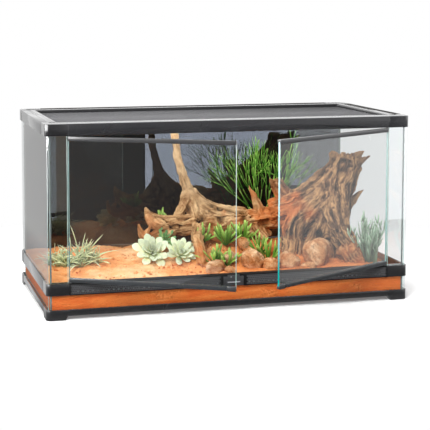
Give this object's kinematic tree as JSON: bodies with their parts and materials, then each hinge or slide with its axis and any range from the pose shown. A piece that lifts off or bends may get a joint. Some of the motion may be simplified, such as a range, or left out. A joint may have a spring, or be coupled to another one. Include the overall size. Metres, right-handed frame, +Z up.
{
  "type": "reptile terrarium",
  "caption": "Low framed glass terrarium with hinged front doors, a vented band, a lift-out screen cover, and sand, driftwood, rocks and plants inside.",
  "frame": {"origin": "centre of the tank's footprint, on the surface that its feet stand on (not the middle of the bounding box, because the doors are stored ajar)", "axes": "+Z up, +X to the right along the tank's length, +Y to the back; the doors are on the -Y side"},
  "size_m": [0.9, 0.637, 0.457],
  "materials": {
    "frame": "black moulded ABS with a fine satin texture",
    "pane": "clear float glass with green polished edges",
    "film": "black film bonded to the back pane",
    "silicone": "clear silicone seam",
    "pin": "turned steel pin",
    "mesh": "grey coated wire mesh",
    "latch": "black moulded ABS",
    "sand": "orange desert sand",
    "driftwood": "weathered grey-brown driftwood",
    "rock": "pale sandstone",
    "rosette": "pale waxy artificial leaves",
    "grass": "pale green artificial blades",
    "shoots": "green artificial shoots",
    "fingers": "green artificial finger leaves",
    "chalk": "blue-green artificial shoots"
  },
  "bodies": {
    "tank": {"base_rail_front": "frame", "base_rail_back": "frame", "base_rail_left": "frame", "base_rail_right": "frame", "base_foot_front_left": "frame", "base_foot_front_right": "frame", "base_foot_back_left": "frame", "base_foot_back_right": "frame", "band_vent_front": "frame", "band_rail_back": "frame", "band_rail_left": "frame", "band_rail_right": "frame", "band_corner_front_left": "frame", "band_corner_front_right": "frame", "band_corner_back_left": "frame", "band_corner_back_right": "frame", "top_rail_front": "frame", "top_rail_back": "frame", "top_rail_left": "frame", "top_rail_right": "frame", "top_corner_front_left": "frame", "top_corner_front_right": "frame", "top_corner_back_left": "frame", "top_corner_back_right": "frame", "glass_left": "pane", "glass_right": "pane", "glass_back": "pane", "glass_floor": "pane", "glass_sill_front": "pane", "glass_strip_left": "pane", "glass_strip_right": "pane", "background_film": "film", "silicone_seams": "silicone", "sand_bed": "sand", "driftwood_stump": "driftwood", "driftwood_branch": "driftwood", "rocks": "rock", "rosette_succulents": "rosette", "grass_tuft": "grass", "twig_bush": "shoots", "finger_succulents": "fingers", "chalk_stick_plant": "chalk"},
    "left_door": {"left_door_glass": "pane", "left_door_top_rail": "frame", "left_door_bottom_rail": "frame", "left_door_hinge_pins": "pin", "left_door_catch": "latch"},
    "right_door": {"right_door_glass": "pane", "right_door_top_rail": "frame", "right_door_bottom_rail": "frame", "right_door_hinge_pins": "pin", "right_door_catch": "latch"},
    "door_lock": {"door_lock": "latch"},
    "cover": {"cover_frame": "frame", "cover_mesh": "mesh"},
    "cover_lock_left": {"cover_lock_left": "latch"},
    "cover_lock_right": {"cover_lock_right": "latch"}
  },
  "joints": [
    {"name": "left_door_hinge", "type": "hinge", "parent": "tank", "child": "left_door", "pos_m": [-0.392, -0.2185, 0.25], "axis": [0, 0, -1], "range_deg": [-28.4, 75]},
    {"name": "right_door_hinge", "type": "hinge", "parent": "tank", "child": "right_door", "pos_m": [0.392, -0.2185, 0.25], "axis": [0, 0, 1], "range_deg": [-29, 75]},
    {"name": "door_lock_slide", "type": "slide", "parent": "tank", "child": "door_lock", "axis": [0, 0, 1], "range_m": [0, 0.004]},
    {"name": "cover_lift", "type": "slide", "parent": "tank", "child": "cover", "axis": [0, 0, 1], "range_m": [0, 0.06]},
    {"name": "cover_lock_left_slide", "type": "slide", "parent": "cover", "child": "cover_lock_left", "axis": [-1, 0, 0], "range_m": [0, 0.004]},
    {"name": "cover_lock_right_slide", "type": "slide", "parent": "cover", "child": "cover_lock_right", "axis": [1, 0, 0], "range_m": [0, 0.004]}
  ]
}
